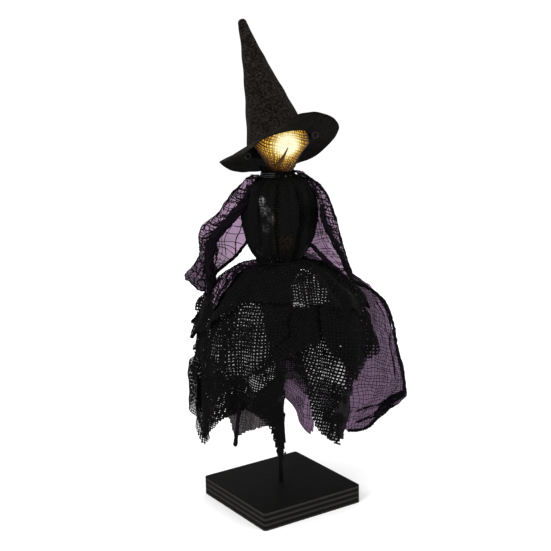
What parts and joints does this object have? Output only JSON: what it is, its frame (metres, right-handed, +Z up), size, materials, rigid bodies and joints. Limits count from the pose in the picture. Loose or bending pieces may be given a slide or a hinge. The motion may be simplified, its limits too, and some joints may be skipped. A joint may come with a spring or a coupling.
{
  "type": "animated witch figure",
  "caption": "Dressed witch doll with a lit burlap head and pointed felt hat, swivelling by a hidden motor on a thin pole over a square wooden base.",
  "frame": {"origin": "centre of the underside of the base board, on the pole's axis", "axes": "+Z up along the pole, -Y the way the figure faces at rest"},
  "size_m": [0.2012, 0.1662, 0.4589],
  "materials": {
    "black_board": "matt black stain, plywood edges",
    "pole_black": "black paint, semi-matt",
    "steel": "plain steel",
    "brass": "plain",
    "gear_white": "acetal",
    "housing_black": "fine spark texture",
    "cell_wrap": "printed film, no marks",
    "board_green": "solder mask",
    "chip_black": "moulded",
    "knob_grey": "moulded",
    "lamp_warm": "frosted",
    "burlap_black": "open burlap weave, dyed black",
    "burlap_natural": "burlap lit from inside",
    "felt_black": "speckled felt",
    "sheer_lilac": "sheer cloth under black crackle net",
    "cord_black": "braided tie"
  },
  "bodies": {
    "root": {"base_board": "black_board", "pole": "pole_black", "pole_screw": "steel", "screw_washer": "steel", "pole_collar": "steel", "fixed_gear": "gear_white"},
    "figure": {"thrust_washer": "brass", "lower_bush": "gear_white", "housing_front": "housing_black", "housing_rear": "housing_black", "housing_screws": "steel", "gear_plate": "housing_black", "idler_pin": "steel", "gear_motor": "steel", "battery_cells": "cell_wrap", "battery_contacts": "steel", "battery_springs": "steel", "circuit_board": "board_green", "board_parts": "chip_black", "switch_body": "chip_black", "neck_tube": "housing_black", "torso_bag": "burlap_black", "collar_band": "cord_black", "waist_tie": "cord_black", "skirt_top_tier": "burlap_black", "over_skirt_left": "burlap_black", "over_skirt_right": "burlap_black", "over_skirt_back": "burlap_black", "under_skirt_left": "burlap_black", "under_skirt_right": "burlap_black", "under_skirt_back": "burlap_black", "left_sleeve": "sheer_lilac", "right_sleeve": "sheer_lilac", "cape": "sheer_lilac"},
    "head": {"head_stem": "housing_black", "neck_pin": "steel", "lamp": "lamp_warm", "head_bag": "burlap_natural", "head_tie": "cord_black", "hat_cone": "felt_black", "hat_brim": "felt_black", "ear_rings": "steel"},
    "idler": {"idler_gear": "gear_white"},
    "motor_rotor": {"motor_pinion": "brass"},
    "battery_door": {"battery_cover": "housing_black"},
    "switch_slider": {"switch_knob": "knob_grey"}
  },
  "joints": [
    {"name": "body_swivel", "type": "hinge", "parent": "root", "child": "figure", "pos_m": [0, 0, 0.2444], "axis": [0, 0, 1], "range_deg": [-30, 30]},
    {"name": "neck_tilt", "type": "hinge", "parent": "figure", "child": "head", "pos_m": [0.006, 0, 0.314], "axis": [0, 1, 0], "range_deg": [-3, 7]},
    {"name": "idler_spin", "type": "hinge", "parent": "figure", "child": "idler", "pos_m": [0.008, -0.00755, 0.25], "axis": [0, 0, 1], "range_deg": [-95, 95]},
    {"name": "motor_spin", "type": "hinge", "parent": "figure", "child": "motor_rotor", "pos_m": [-0.0025, -0.00755, 0.255], "axis": [0, 0, 1], "range_deg": [-190, 190]},
    {"name": "battery_cover_slide", "type": "slide", "parent": "figure", "child": "battery_door", "axis": [0, 0, -1], "range_m": [0, 0.007]},
    {"name": "switch_slide", "type": "slide", "parent": "figure", "child": "switch_slider", "axis": [1, 0, 0], "range_m": [0, 0.0028]}
  ],
  "couplings": [
    {"joint": "idler_spin", "follows": "body_swivel", "ratio": 2.1429},
    {"joint": "motor_spin", "follows": "body_swivel", "ratio": -4.2857}
  ]
}
